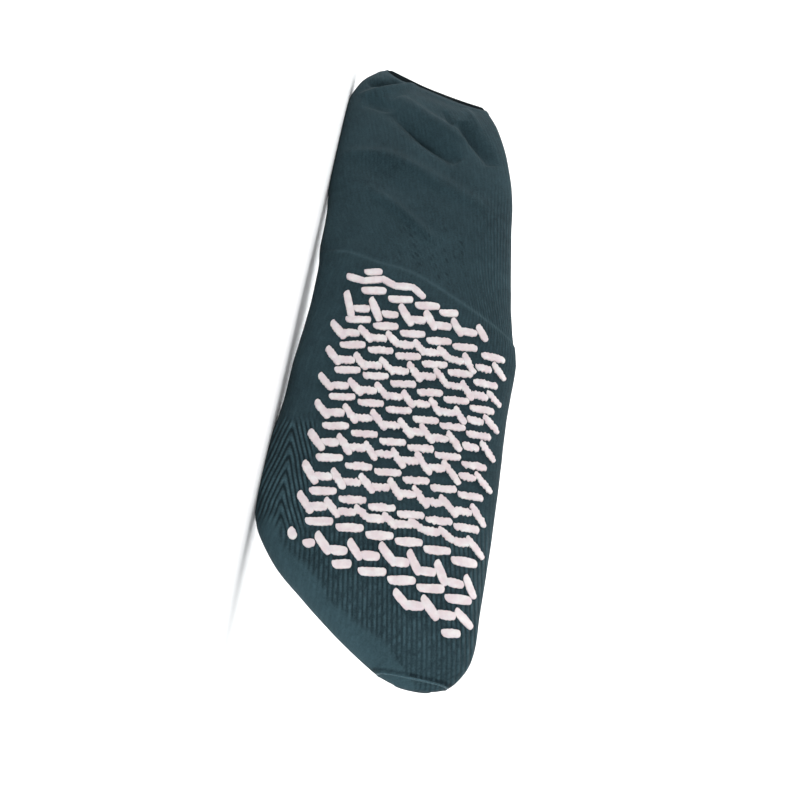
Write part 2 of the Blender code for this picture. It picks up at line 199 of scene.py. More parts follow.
# The rows of bars: the first column that holds a bar, and each bar's place along the foot as a
# share of its length from the heel line
BarRow = namedtuple("BarRow", "name shift first along")
BAR_ROWS = (
    BarRow("grip_bars_01", 0.030, 0, (0.116,)),
    BarRow("grip_bars_02", 0.048, 0, (0.164, 0.176, 0.181, 0.188)),
    BarRow("grip_bars_03", 0.004, 0, (0.242, 0.249, 0.257, 0.263, 0.265, 0.271)),
    BarRow("grip_bars_04", 0.001, 0, (0.307, 0.310, 0.313, 0.321, 0.331, 0.340)),
    BarRow("grip_bars_05", 0.000, 0, (0.369, 0.373, 0.381, 0.390, 0.396, 0.402)),
    BarRow("grip_bars_06", 0.000, 0, (0.435, 0.439, 0.444, 0.455, 0.458, 0.463)),
    BarRow("grip_bars_07", -0.003, 0, (0.506, 0.514, 0.521, 0.524, 0.529, 0.535)),
    BarRow("grip_bars_08", -0.002, 0, (0.580, 0.589, 0.591, 0.597, 0.603, 0.604)),
    BarRow("grip_bars_09", -0.002, 0, (0.654, 0.663, 0.669, 0.673, 0.673, 0.673)),
    BarRow("grip_bars_10", 0.007, 0, (0.718, 0.722, 0.727, 0.729, 0.734, 0.744)),
    BarRow("grip_bars_11", 0.002, 1, (0.796, 0.801, 0.808, 0.813, 0.822)),
    BarRow("grip_bars_12", -0.010, 5, (0.891,)),
)
# Bars that the print's border cuts short: the share of a whole bar that is left
SHORT_BARS = {
    ("grip_bars_01", 0): 0.72,
    ("grip_bars_02", 3): 0.76,
    ("grip_bars_11", 1): 0.68,
    ("grip_bars_12", 5): 0.68,
}
# Bars that lie beside their column: how far, as a share of the foot's width
SHIFTED_BARS = {
    ("grip_bars_02", 3): -0.020,
    ("grip_bars_03", 5): 0.016,
}
# Each zigzag: how far its shorts lie toward the toe, then the start and the end of each slant,
# along the foot and above the floor, in the same shares
Zigzag = namedtuple("Zigzag", "name toeward slants")
ZIGZAGS = (
    Zigzag("grip_zigzag_02", 0.006, (
        (0.175, 0.192, 0.234, 0.236), (0.186, 0.307, 0.236, 0.360), (0.192, 0.440, 0.234, 0.502),
        (0.197, 0.555, 0.234, 0.608), (0.203, 0.679, 0.236, 0.727), (0.205, 0.794, 0.234, 0.838))),
    Zigzag("grip_zigzag_03", 0.004, (
        (0.255, 0.157, 0.290, 0.223), (0.262, 0.281, 0.290, 0.342), (0.266, 0.404, 0.290, 0.462),
        (0.275, 0.528, 0.299, 0.581), (0.282, 0.635, 0.303, 0.696), (0.284, 0.750, 0.321, 0.803),
        (0.287, 0.887, 0.311, 0.944))),
    Zigzag("grip_zigzag_04", 0.004, (
        (0.321, 0.161, 0.356, 0.223), (0.330, 0.285, 0.358, 0.342), (0.332, 0.396, 0.358, 0.462),
        (0.330, 0.519, 0.365, 0.581), (0.334, 0.635, 0.367, 0.701), (0.352, 0.758, 0.384, 0.812),
        (0.358, 0.878, 0.378, 0.938))),
    Zigzag("grip_zigzag_05", 0.003, (
        (0.389, 0.152, 0.419, 0.214), (0.393, 0.281, 0.421, 0.342), (0.393, 0.396, 0.419, 0.458),
        (0.400, 0.515, 0.428, 0.568), (0.406, 0.635, 0.434, 0.688), (0.415, 0.745, 0.443, 0.794),
        (0.417, 0.876, 0.439, 0.944))),
    Zigzag("grip_zigzag_06", 0.003, (
        (0.454, 0.161, 0.487, 0.223), (0.456, 0.281, 0.489, 0.342), (0.459, 0.400, 0.493, 0.466),
        (0.467, 0.519, 0.500, 0.581), (0.470, 0.612, 0.503, 0.672), (0.474, 0.730, 0.508, 0.790),
        (0.478, 0.877, 0.507, 0.941))),
    Zigzag("grip_zigzag_07", 0.000, (
        (0.526, 0.161, 0.563, 0.227), (0.528, 0.281, 0.563, 0.342), (0.535, 0.396, 0.566, 0.449),
        (0.539, 0.511, 0.572, 0.568), (0.537, 0.612, 0.576, 0.679), (0.544, 0.727, 0.583, 0.803),
        (0.552, 0.870, 0.579, 0.944))),
    Zigzag("grip_zigzag_08", 0.002, (
        (0.598, 0.165, 0.638, 0.227), (0.607, 0.285, 0.640, 0.342), (0.609, 0.400, 0.638, 0.462),
        (0.607, 0.519, 0.642, 0.577), (0.614, 0.621, 0.648, 0.688), (0.622, 0.736, 0.653, 0.812),
        (0.624, 0.869, 0.655, 0.935))),
    Zigzag("grip_zigzag_09", 0.003, (
        (0.666, 0.170, 0.701, 0.232), (0.672, 0.281, 0.701, 0.342), (0.677, 0.404, 0.699, 0.471),
        (0.683, 0.519, 0.703, 0.577), (0.686, 0.626, 0.699, 0.692), (0.690, 0.750, 0.707, 0.812),
        (0.694, 0.869, 0.721, 0.944))),
    Zigzag("grip_zigzag_10", 0.008, (
        (0.745, 0.272, 0.777, 0.334), (0.749, 0.404, 0.779, 0.458), (0.745, 0.528, 0.779, 0.595),
        (0.749, 0.643, 0.788, 0.696), (0.758, 0.758, 0.799, 0.803), (0.773, 0.882, 0.808, 0.927))),
    Zigzag("grip_zigzag_11", 0.004, (
        (0.832, 0.612, 0.858, 0.674), (0.834, 0.723, 0.869, 0.789), (0.846, 0.862, 0.868, 0.930))),
)
# The drawn-out zigzag nearest the heel, as corners along one wavy line
HEEL_WAVE = (
    (0.1335, 0.187), (0.1425, 0.262), (0.1315, 0.342), (0.1440, 0.400), (0.1400, 0.480),
    (0.1600, 0.534),
)
# The two dashes that the border leaves alone: start and end
LOOSE_DASHES = {
    "grip_dot_1": (0.740, 0.158, 0.758, 0.190),
    "grip_dot_2": (0.766, 0.224, 0.762, 0.272),
}
# The pitch of the teeth on a dash's frayed edge, the level of the sphere below which its
# points become a dash's flat foot, and how deep the foot sinks into the knit
FRAY_PITCH = 0.0019
FOOT_LEVEL = 0.35
FOOT_SINK = 0.00035

# The floor runs flat toward the back, bends up and ends in an upright wall: how far it reaches
# in front, where the bend starts, its radius, the wall's height and the width of the whole
FLOOR_FRONT, BEND_START, BEND_RADIUS, WALL_HEIGHT, FLOOR_WIDTH = -3.0, 0.9, 0.5, 3.0, 9.0
# The shares of the floor sheet at which the bend and the wall start
BEND_SHARE, WALL_SHARE = 0.5, 0.85

Lamp = namedtuple("Lamp", "name place aim size share")
LAMPS = (
    Lamp("key", (-0.98, -0.46, 0.16), (-0.05, 0.0, 0.05), 0.20, 1.05),
    Lamp("fill", (0.95, -0.72, 0.22), (0.12, 0.0, 0.05), 0.4, 2.7),
    Lamp("backdrop_wash", (-0.7, 0.25, 1.75), (-0.95, 1.4, 0.75), 2.2, 17.0),
)
# The camera looks at the sole from a little toward the toe, turned on its side so that the
# sock stands upright in the picture
CAMERA_PLACE = (0.29808, -0.4879, 0.0483)
CAMERA_FORWARD = (-0.4692, 0.8829, 0.0173)
CAMERA_RIGHT = (-0.1474, -0.0976, 0.9843)
CAMERA_LENS = 49.5


def length_choice(name, default, description):
    """A length that the panel shows."""
    return bpy.props.FloatProperty(
        name=name, default=default, description=description, subtype="DISTANCE")


def colour_choice(name, default, description):
    """A colour that the panel shows."""
    return bpy.props.FloatVectorProperty(
        name=name, default=default, description=description, subtype="COLOR", size=3)


class SockSizes(bpy.types.PropertyGroup):
    """Sizes of the sock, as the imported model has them."""

    foot_length: length_choice("Foot Length", 0.229, "Heel line to toe tip")
    foot_width: length_choice(
        "Foot Width", SOCK_HIGH[2] - SOCK_LOW[2], "Across the flattened foot")
    foot_depth: length_choice("Foot Depth", 0.048, "Tread to instep, as it lies")
    leg_length: length_choice("Leg Length", 0.138, "Mouth to heel line")
    leg_width: length_choice("Leg Width", 0.104, "Across the flattened leg")
    leg_depth: length_choice("Leg Depth", 0.036, "Front to back of the leg, as it lies")
    wall: length_choice("Wall", 0.0018, "Thickness of the knit")


class KnitLook(bpy.types.PropertyGroup):
    """Yarn colours and stitch sizes."""

    # The yarn's tone runs from Dark Yarn to Light Yarn: the grooves are painted toward the dark one
    # as painted shade, the ridges toward the light one as painted highlight
    dark: colour_choice("Dark Yarn", (0.004, 0.012, 0.016), "Yarn colour in the grooves")
    light: colour_choice("Light Yarn", (0.050, 0.100, 0.120), "Yarn colour on the ridges")
    wale: length_choice("Wale", 0.0044, "Width of one column of stitches")
    course: length_choice("Course", 0.0013, "Height of one row of stitches")


class GripLook(bpy.types.PropertyGroup):
    """Sizes and colours of the raised print."""

    bar_length: length_choice("Bar Length", 0.0124, "Length of a whole bar")
    bar_width: length_choice("Bar Width", 0.0041, "Width of a bar")
    slant_width: length_choice("Slant Width", 0.0039, "Width of a slant")
    short_length: length_choice("Short Length", 0.0084, "Length of a short dash")
    height: length_choice("Height", 0.0013, "How far the print stands off the knit")
    slope: bpy.props.FloatProperty(
        name="Slope", description="How far a dash's low end is cut aslant, by half its width",
        default=0.45)
    colour: colour_choice("Print", (0.620, 0.600, 0.594), "Colour of the print")
    shade: colour_choice("Print Shade", (0.545, 0.470, 0.487), "Colour in the print's hollows")


class StageLook(bpy.types.PropertyGroup):
    """Light and floor."""

    floor: colour_choice("Floor", (0.93, 0.94, 0.945), "Colour of the floor")
    key_power: bpy.props.FloatProperty(
        name="Light Power", description="Power that each light has its share of", default=4.0,
        subtype="POWER")
    world_strength: bpy.props.FloatProperty(
        name="Surround", description="Brightness of the pale surroundings", default=0.10)


def part_size(part):
    """Length, width and depth of the leg or the foot."""
    sizes = bpy.context.scene.sock_sizes
    if part == "leg":
        return sizes.leg_length, sizes.leg_width, sizes.leg_depth
    return sizes.foot_length, sizes.foot_width, sizes.foot_depth


def share_to_size(part, line):
    """Points given as shares of the leg's or foot's length and width, in metres."""
    return np.array(line) * part_size(part)[:2]


def sections():
    """The rows in metres: low and high end, bow, rake, and the depths of tread, edge and instep."""
    table = []
    for row in ROWS:
        length, width, depth = part_size(row.part)
        table.append((
            row.low_x * length, row.low_z * width, row.high_x * length, row.high_z * width,
            row.bow * length, row.rake, row.tread * depth, row.edge * depth, row.instep * depth))
    return np.array(table)


def section_at(table, places):
    """The sections at places between rows, on a smooth curve through all of them."""
    last = len(table) - 1
    first = np.minimum(places.astype(int), last - 1)
    share = (places - first)[:, None]
    a, b, c, d = (table[np.clip(first + step, 0, last)] for step in (-1, 0, 1, 2))
    return b + 0.5 * share * (
        c - a + share * (2 * a - 5 * b + 4 * c - d + share * (3 * b - a - 3 * c + d)))


def skin(table, places, turn):
    """Points of the outer skin: one ring of points for each place."""
    parts = section_at(table, np.asarray(places, float))
    low_x, low_z, high_x, high_z, bow, rake, tread, edge, instep = (
        part[:, None] for part in parts.T)
    turn = np.atleast_2d(turn)
    sine, cosine = np.sin(turn), np.cos(turn)
    power = np.where(sine < 0, TREAD_POWER, INSTEP_POWER)
    across = np.sign(cosine) * np.abs(cosine) ** (2 / power)
    out = np.abs(sine) ** (2 / power)
    y = edge + (np.where(sine < 0, tread, instep) - edge) * out
    share = (1 + across) / 2
    x = low_x + (high_x - low_x) * share - bow * (1 - across**2) - rake * (y - edge)
    z = low_z + (high_z - low_z) * share
    return np.stack([x, y, np.maximum(z, 0.0)], axis=-1)


def even_rings(table, places):
    """Rings with evenly spaced points: from the low edge over the tread to the high edge, and
    back over the instep. The first and the last point of each ring are the same place."""
    half = STITCHES_AROUND // 2
    rings = []
    for start, end in ((-pi, 0.0), (0.0, pi)):
        turn = np.linspace(start, end, FINE_TURNS)
        fine = skin(table, places, turn)
        steps = np.linalg.norm(np.diff(fine, axis=1), axis=2)
        lengths = np.concatenate([np.zeros((len(fine), 1)), np.cumsum(steps, axis=1)], axis=1)
        wanted = np.linspace(0, 1, half + 1)
        side = np.empty((len(fine), half + 1, 3))
        for number, length in enumerate(lengths):
            for axis in range(3):
                side[number, :, axis] = np.interp(
                    wanted * length[-1], length, fine[number, :, axis])
        rings.append(side)
    return np.concatenate([rings[0], rings[1][:, 1:]], axis=1)


def even_places(table):
    """Places along the rows, spaced evenly along the middle of the sock."""
    fine = np.linspace(0, len(ROWS) - 1, FINE_PLACES)
    ends = section_at(table, fine)
    middle = np.stack([(ends[:, 0] + ends[:, 2]) / 2, (ends[:, 1] + ends[:, 3]) / 2], axis=1)
    length = np.concatenate([[0], np.cumsum(np.linalg.norm(np.diff(middle, axis=0), axis=1))])
    return np.interp(np.linspace(0, length[-1], RINGS_OUTSIDE), length, fine)


def to_line(points, line):
    """Distance from each flat point to a line of corners, the share along it, and its side."""
    line = np.array(line)
    best = np.full(len(points), np.inf)
    along = np.zeros(len(points))
    side = np.zeros(len(points))
    for number, (start, end) in enumerate(zip(line, line[1:])):
        step = end - start
        share = np.clip((points - start) @ step / (step @ step), 0, 1)
        gap = points - (start + share[:, None] * step)
        distance = np.linalg.norm(gap, axis=1)
        nearer = distance < best
        best[nearer] = distance[nearer]
        along[nearer] = ((number + share) / (len(line) - 1))[nearer]
        side[nearer] = (step[0] * gap[:, 1] - step[1] * gap[:, 0])[nearer]
    return best, along, side


def smooth_step(low, high, value):
    """0 below low, 1 above high, and a soft rise between them."""
    share = np.clip((value - low) / (high - low), 0, 1)
    return share * share * (3 - 2 * share)


def between(value, rise, top, fall, end):
    """0 outside rise to end, 1 from top to fall, and soft steps between them."""
    return smooth_step(rise, top, value) * (1 - smooth_step(fall, end, value))


def noise_at(points, fineness):
    """Smooth noise at each point."""
    return np.array([noise.noise(Vector(point) * fineness) for point in points])


def unit(vectors):
    """The same vectors, each with length 1."""
    return vectors / np.maximum(np.linalg.norm(vectors, axis=-1, keepdims=True), 1e-12)


def round_line(line, turns=2):
    """The same line with its corners cut, so that a fold bends softly."""
    line = np.array(line)
    for _ in range(turns):
        cut = [line[0]]
        for start, end in zip(line, line[1:]):
            cut += [start * 0.75 + end * 0.25, start * 0.25 + end * 0.75]
        line = np.array(cut + [line[-1]])
    return line


def origin_shift():
    """From the heel line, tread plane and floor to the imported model's origin."""
    sizes = bpy.context.scene.sock_sizes
    table = sections()
    lowest = skin(table, even_places(table), np.linspace(-pi, pi, TREAD_TURNS))[..., 1].min()
    return np.array([SOCK_HIGH[0] - sizes.foot_length, SOCK_LOW[1] - lowest, 0.0])


def beyond_line(points, line, wobble):
    """Signed distance past a line, to its low and toeward side, with a slightly uneven edge."""
    distance, _, side = to_line(points[:, [0, 2]], round_line(share_to_size("foot", line)))
    return np.where(side < 0, distance, -distance) + wobble * noise_at(points, 170.0)


def toe_pad(points):
    """1 on the padded band along the low side of the toe, 0 elsewhere."""
    start = share_to_size("foot", TOE_PAD)[0, 0]
    past = beyond_line(points, TOE_PAD, 0.0012)
    return smooth_step(-0.0014, 0.0014, past) * smooth_step(start, start + 0.012, points[:, 0])


def heel_pocket(points):
    """The lift of the heel pocket's knit just past the line where it was turned."""
    past = -beyond_line(points, HEEL_TURN[::-1], 0.0)
    return between(past, -0.0012, 0.0012, 0.004, 0.030)


def fold_relief(points, normals):
    """How far each point of the skin moves out along its normal for the folds."""
    flat = points[:, [0, 2]]
    relief = np.zeros(len(points))
    facing = {
        "tread": smooth_step(0.05, 0.55, -normals[:, 1]),
        "instep": smooth_step(0.05, 0.55, normals[:, 1]),
    }
    soft = noise_at(points, 55.0)
    for fold in FOLDS:
        line = round_line(share_to_size(fold.part, fold.line))
        distance, along, _ = to_line(flat, line)
        distance = distance + 0.25 * fold.width * soft
        fade = np.sin(pi * np.clip(along, 0, 1)) ** 0.9
        relief += fold.height * fade * np.exp(-((distance / fold.width) ** 2)) * facing[fold.side]
    relief += HEEL_LIFT * heel_pocket(points) * facing["tread"]
    relief += PAD_LIFT * toe_pad(points) * smooth_step(-0.35, 0.25, -normals[:, 1])
    return relief + sum(height * noise_at(points, fineness) for height, fineness in SLACK)


def deselect_all():
    """Leaves nothing selected, so that an operator acts only on what it makes."""
    bpy.ops.object.select_all(action="DESELECT")


def replace_nodes(piece, slot, *nodes):
    """Puts a piece on the body in place of its CAD nodes; the slot is not used."""
    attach(piece, "root")
    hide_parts(*nodes)


def set_points(mesh, points):
    """Moves a mesh's points."""
    mesh.vertices.foreach_set("co", np.asarray(points, np.float32).ravel())
    mesh.update()


def merge_points(piece, distance=1e-6):
    """Merges doubles in edit mode and turns all faces outwards."""
    deselect_all()
    piece.select_set(True)
    bpy.context.view_layer.objects.active = piece
    bpy.ops.object.mode_set(mode="EDIT")
    bpy.ops.mesh.select_all(action="SELECT")
    bpy.ops.mesh.remove_doubles(threshold=distance)
    bpy.ops.mesh.normals_make_consistent(inside=False)
    bpy.ops.object.mode_set(mode="OBJECT")


def inside_rings(count):
    """The outer rings that the inside repeats: every second by the collar, few in the foot."""
    far = np.linspace(RINGS_BY_COLLAR, count - 1, RINGS_INSIDE_FOOT).astype(int)
    return np.concatenate([np.arange(0, RINGS_BY_COLLAR, 2), far])


def rim_dip(base, normals, depths):
    """How far the front of the elastic edge sags toward the toe near its low end."""
    z_share = base[..., 2] / bpy.context.scene.sock_sizes.leg_width
    place, spread, depth, reach = RIM_DIP
    dip = depth * np.exp(-(((z_share - place) / spread) ** 2))
    return dip * np.exp(-depths / reach)[:, None] * smooth_step(0.0, 0.5, -normals[..., 1])


def toe_cap(ring, tip):
    """Rings that round off from the last ring to the toe's tip."""
    middle = ring.mean(axis=0)
    rows = []
    for number in range(1, RINGS_TOE_CAP + 1):
        angle = pi / 2 * number / RINGS_TOE_CAP
        rows.append(middle + (ring - middle) * np.cos(angle) + (tip - middle) * np.sin(angle))
    return np.array(rows)


def rim(outer, inner, mouthward, wall):
    """Rings that round the wall off at the mouth, from the outer skin to the inner."""
    rows = []
    for number in range(1, RINGS_RIM + 1):
        angle = pi * number / (RINGS_RIM + 1)
        rows.append((outer + inner) / 2 + (outer - inner) / 2 * np.cos(angle)
                    + mouthward * wall / 2 * np.sin(angle))
    return np.array(rows)


def body_points():
    """The whole wall as one sheet of rings: toe tip, outer skin, rim, inside, inner toe tip."""
    sizes = bpy.context.scene.sock_sizes
    table = sections()
    base = even_rings(table, even_places(table))
    closed = np.concatenate([base[:, -2:-1], base, base[:, 1:2]], axis=1)
    around = np.gradient(closed, axis=1)[:, 1:-1]
    normals = unit(np.cross(np.gradient(base, axis=0), around))
    quarter = STITCHES_AROUND // 4
    # The middle of the tread faces -y
    if normals[len(base) // 2, quarter, 1] > 0:
        normals = -normals

    relief = fold_relief(base.reshape(-1, 3), normals.reshape(-1, 3)).reshape(base.shape[:2])
    steps = np.linalg.norm(np.diff(base[:, quarter], axis=0), axis=1)
    depths = np.concatenate([[0], np.cumsum(steps)])
    relief += (COLLAR_LIFT * (1 - smooth_step(*COLLAR_END, depths)))[:, None]
    relief *= smooth_step(0, 12, np.arange(len(base))[::-1])[:, None]
    outer = base + normals * relief[..., None]
    inner = base + normals * (relief - sizes.wall)[..., None]
    dip = rim_dip(base, normals, depths)
    for sheet, lowest in ((outer, 0.0), (inner, sizes.wall)):
        sheet[..., 0] += dip
        sheet[..., 2] = np.maximum(sheet[..., 2], lowest)
        sheet[:, -1] = sheet[:, 0]

    tip = np.array(TOE_TIP) * (sizes.foot_length, sizes.foot_depth, sizes.foot_width)
    inner_tip = tip - np.array([sizes.wall, 0, 0])
    rings = np.concatenate([
        toe_cap(outer[-1], tip)[::-1], outer[::-1],
        rim(outer[0], inner[0], unit(outer[0] - outer[2]), sizes.wall),
        inner[inside_rings(len(base))], toe_cap(inner[-1], inner_tip)])
    return rings + origin_shift(), base, depths


def stitch_places(base, depths):
    """Stitch coordinates for the outer rings: across the wales and along the courses."""
    half = STITCHES_AROUND // 2
    steps = np.linalg.norm(np.diff(base, axis=1), axis=2)
    around = np.concatenate([np.zeros((len(base), 1)), np.cumsum(steps, axis=1)], axis=1)
    around -= around[:, half:half + 1]
    return around, np.repeat(depths[:, None], base.shape[1], axis=1)


def whole_sheet(values):
    """Lays values of the outer rings out over the whole wall, in the order of its rings."""
    return np.concatenate([
        np.repeat(values[-1:], RINGS_TOE_CAP, axis=0), values[::-1],
        np.repeat(values[:1], RINGS_RIM, axis=0), values[inside_rings(len(values))],
        np.repeat(values[-1:], RINGS_TOE_CAP, axis=0)])


def gore_map(base):
    """Coordinate across the gore's wales, which meet in an arrow, and where the gore is."""
    line = share_to_size("foot", GORE_LINE)
    x, z = base[..., 0], base[..., 2]
    across = np.abs(z - np.interp(x, line[:, 0], line[:, 1]))
    arrow = GORE_LEAN * x - np.sqrt(across**2 + GORE_POINT**2)
    near = 1 - smooth_step(*GORE_SIDES, across)
    return arrow, between(x / part_size("foot")[0], *GORE_REACH) * near


def knit_masks(base, depths):
    """Where each look of the knit shows: a value for every point of the outer rings."""
    x_share, z_share = (base[..., axis] / part_size("foot")[axis // 2] for axis in (0, 2))
    tread = smooth_step(-1.0, 1.0, STITCHES_AROUND // 2 - np.arange(STITCHES_AROUND + 1))
    gore_across, gore = gore_map(base)
    gore *= tread
    points = base.reshape(-1, 3)
    # Painted highlight: a light line along the line where the heel pocket was turned
    turn_gap = to_line(points[:, [0, 2]], round_line(share_to_size("foot", HEEL_TURN)))[0]
    heel_turn = np.exp(-((turn_gap / HEEL_TURN_SPREAD) ** 2)).reshape(gore.shape)
    pad = toe_pad(points).reshape(gore.shape) * tread
    toe_ribs = smooth_step(0.60, 0.74, x_share) * (1 - 0.45 * smooth_step(0.90, 0.96, x_share))
    side_ribs = smooth_step(0.66, 0.84, z_share) * between(x_share, -0.26, -0.06, 0.18, 0.32)
    ribbed = 0.12 + 0.88 * np.maximum.reduce([toe_ribs, 0.45 * side_ribs, gore])
    above_heel = between(x_share, -0.060, -0.020, 0.100, 0.140)
    # Painted shadow: a dark line on the mouth side of the toe seam
    seam_gap = depths - np.interp(SEAM_PLACE, even_places(sections()), depths)
    seam_dark = np.exp(-(((seam_gap + SEAM_SHADE_OFFSET) / SEAM_SHADE_SPREAD) ** 2))
    return {
        "gore_across": gore_across, "gore": gore, "heel_turn": heel_turn * tread,
        "ribbed": ribbed * (1 - 0.85 * pad), "pad": pad,
        "blocky": above_heel * between(z_share, 0.34, 0.44, 0.66, 0.78) * tread,
        "seam_dark": np.repeat(seam_dark[:, None], base.shape[1], axis=1),
        "toe": smooth_step(0.58, 0.64, x_share) * tread,
        "toe_across": base[..., 2] - TOE_WALE_LEAN * base[..., 0],
    }


def feed(tree, value, target):
    """Links another node's output to a socket, or sets a constant on it."""
    if isinstance(value, bpy.types.NodeSocket):
        tree.links.new(value, target)
    else:
        target.default_value = value


def math_node(tree, operation, first, second=None, clamp=False):
    """The output of one step of arithmetic on outputs and constants."""
    node = tree.nodes.new("ShaderNodeMath")
    node.operation = operation
    node.use_clamp = clamp
    feed(tree, first, node.inputs[0])
    if second is not None:
        feed(tree, second, node.inputs[1])
    return node.outputs[0]


def times(tree, first, second, clamp=False):
    """The product of two values."""
    return math_node(tree, "MULTIPLY", first, second, clamp)


def plus(tree, first, second, clamp=False):
    """The sum of two values."""
    return math_node(tree, "ADD", first, second, clamp)


def above(tree, value, base, gain=1.0, clamp=False):
    """How far a value lies above a base, times a gain."""
    return times(tree, math_node(tree, "SUBTRACT", value, base), gain, clamp)


def noise_texture(tree, vector, scale, detail):
    """Cloudy noise between 0 and 1."""
    texture = tree.nodes.new("ShaderNodeTexNoise")
    feed(tree, vector, texture.inputs["Vector"])
    feed(tree, scale, texture.inputs["Scale"])
    texture.inputs["Detail"].default_value = detail
    return texture.outputs["Fac"]


def new_group(name, inputs, *outputs):
    """An empty node group, the outputs of its entry and the inputs of its exit."""
    group = bpy.data.node_groups.new(name, "ShaderNodeTree")
    for title, value in inputs.items():
        made = group.interface.new_socket(
            name=title, in_out="INPUT", socket_type="NodeSocketFloat")
        made.default_value = value
    for title in outputs:
        group.interface.new_socket(name=title, in_out="OUTPUT", socket_type="NodeSocketFloat")
    enter = group.nodes.new("NodeGroupInput")
    leave = group.nodes.new("NodeGroupOutput")
    return group, enter.outputs, leave.inputs


def stitch_group():
    """Plain knit stitches: two leaning legs to a wale, one pair to a course."""
    group, enter, leave = new_group(
        "knit_stitch", {"Across": 0.0, "Along": 0.0, "Wale": 0.002, "Course": 0.0013}, "Height")
    share = math_node(
        group, "FRACT", math_node(group, "DIVIDE", enter["Across"], enter["Wale"]))
    side = math_node(group, "ABSOLUTE", above(group, share, 0.5))
    leg = math_node(group, "SINE", times(group, side, 2 * pi))
    row = math_node(group, "DIVIDE", enter["Along"], enter["Course"])
    lean = math_node(group, "FRACT", plus(group, row, times(group, side, 1.7)))
    lobe = math_node(group, "SINE", times(group, lean, pi))
    body = plus(group, times(group, lobe, 0.20), 0.80)
    rounded = math_node(group, "POWER", math_node(group, "ABSOLUTE", leg), 1.3)
    group.links.new(times(group, rounded, body), leave["Height"])
    return group


def streak_group():
    """Uneven streaks that run with the wales, and small blocks where the stitches were slipped."""
    group, enter, leave = new_group(
        "wale_streak", {"Across": 0.0, "Along": 0.0}, "Streak", "Block")
    place = group.nodes.new("ShaderNodeCombineXYZ")
    waves = []
    for name, axis, fineness, pitch in (
        ("Across", "X", 430.0, 0.0062), ("Along", "Y", 200.0, 0.0056),
    ):
        group.links.new(times(group, enter[name], fineness), place.inputs[axis])
        waves.append(math_node(group, "SINE", times(group, enter[name], 2 * pi / pitch)))
    group.links.new(noise_texture(group, place.outputs[0], 1.0, 2.0), leave["Streak"])
    patch = noise_texture(group, place.outputs[0], 0.35, 1.0)
    here = above(group, patch, 0.46, 7.0, clamp=True)
    block = times(group, times(group, *waves), 1.6)
    group.links.new(times(group, block, here, clamp=True), leave["Block"])
    return group


def mottle_group():
    """Soft cloudy variation with fine fibre flecks on top."""
    group, enter, leave = new_group(
        "fibre_mottle", {"Cloud Scale": 45.0, "Fleck Scale": 1500.0}, "Cloud", "Fleck")
    place = group.nodes.new("ShaderNodeTexCoord").outputs["Object"]
    for name, detail in (("Cloud", 3.0), ("Fleck", 2.0)):
        group.links.new(noise_texture(group, place, enter[name + " Scale"], detail), leave[name])
    return group


GROUP_MAKERS = {
    "knit_stitch": stitch_group, "wale_streak": streak_group, "fibre_mottle": mottle_group,
}


def place_group(tree, name, **values):
    """Places a node group, made at its first use, feeds its inputs and gives its outputs."""
    node = tree.nodes.new("ShaderNodeGroup")
    node.node_tree = bpy.data.node_groups.get(name) or GROUP_MAKERS[name]()
    for title, value in values.items():
        feed(tree, value, node.inputs[title.replace("_", " ")])
    return node.outputs


def plain_material(name, colour, roughness, **more):
    """A material with constants on its shader, each named for its socket."""
    material = bpy.data.materials.new(name)
    material.use_nodes = True
    shader = material.node_tree.nodes["Principled BSDF"]
    for title, value in {"Base_Color": (*colour, 1.0), "Roughness": roughness, **more}.items():
        shader.inputs[title.replace("_", " ")].default_value = value
    return material, material.node_tree, shader


def mix_colour(tree, factor, first, second):
    """Mixes two colours, each of them a constant or another node's output."""
    node = tree.nodes.new("ShaderNodeMix")
    node.data_type = "RGBA"
    tree.links.new(factor, node.inputs["Factor"])
    for value, name in ((first, "A"), (second, "B")):
        target = next(item for item in node.inputs if item.name == name and item.type == "RGBA")
        feed(tree, value if isinstance(value, bpy.types.NodeSocket) else (*value, 1.0), target)
    return next(item for item in node.outputs if item.type == "RGBA")


def finish_shader(tree, shader, colour, height, strength, distance):
    """Links the base colour, and a height as bump."""
    tree.links.new(colour, shader.inputs["Base Color"])
    bump = tree.nodes.new("ShaderNodeBump")
    bump.inputs["Strength"].default_value = strength
    bump.inputs["Distance"].default_value = distance
    tree.links.new(height, bump.inputs["Height"])
    tree.links.new(bump.outputs["Normal"], shader.inputs["Normal"])


def attribute_value(tree, name):
    """A value stored on the mesh."""
    node = tree.nodes.new("ShaderNodeAttribute")
    node.attribute_name = name
    return node.outputs["Fac"]


def wale_axes(tree):
    """The stitch coordinates of the knit: across the wales and along the courses."""
    wales = tree.nodes.new("ShaderNodeUVMap")
    wales.uv_map = "wales"
    split = tree.nodes.new("ShaderNodeSeparateXYZ")
    tree.links.new(wales.outputs["UV"], split.inputs[0])
    return split.outputs["X"], split.outputs["Y"]


